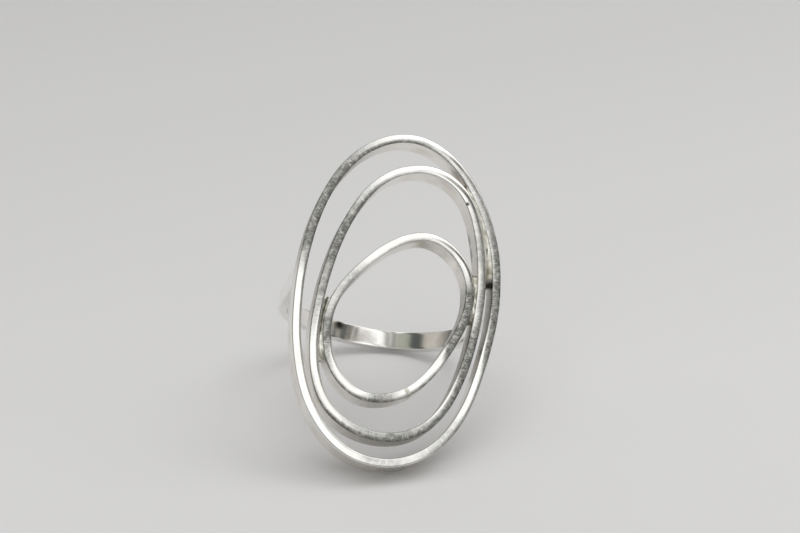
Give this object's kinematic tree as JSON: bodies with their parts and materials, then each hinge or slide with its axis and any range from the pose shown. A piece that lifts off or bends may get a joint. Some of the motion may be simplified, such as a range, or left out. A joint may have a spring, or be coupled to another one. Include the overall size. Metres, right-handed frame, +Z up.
{
  "type": "finger ring",
  "caption": "Open-work finger ring: nested oval hoops of flat silver strip, soldered together side by side on a U-shaped finger band.",
  "frame": {"origin": "bottom centre of the bounding box, on the table that the ring rests on", "axes": "+Z up; the ring leans back on the outer hoop's lowest edge and the band's back, with its face turned up and towards -Y and the band behind it, towards +Y"},
  "size_m": [0.0214, 0.0288, 0.0266],
  "materials": {
    "silver": "polished, finely scratched",
    "solder": "dull, tarnished"
  },
  "bodies": {
    "root": {"outer_hoop": "silver", "middle_hoop": "silver", "inner_hoop": "silver", "finger_band": "silver", "outer_hoop_seam": "solder", "middle_hoop_seam": "solder", "inner_hoop_seam": "solder", "outer_middle_joint": "solder", "middle_inner_joint_right": "solder", "middle_inner_joint_left": "solder", "band_joint_left": "solder", "band_joint_right": "solder"}
  },
  "joints": []
}
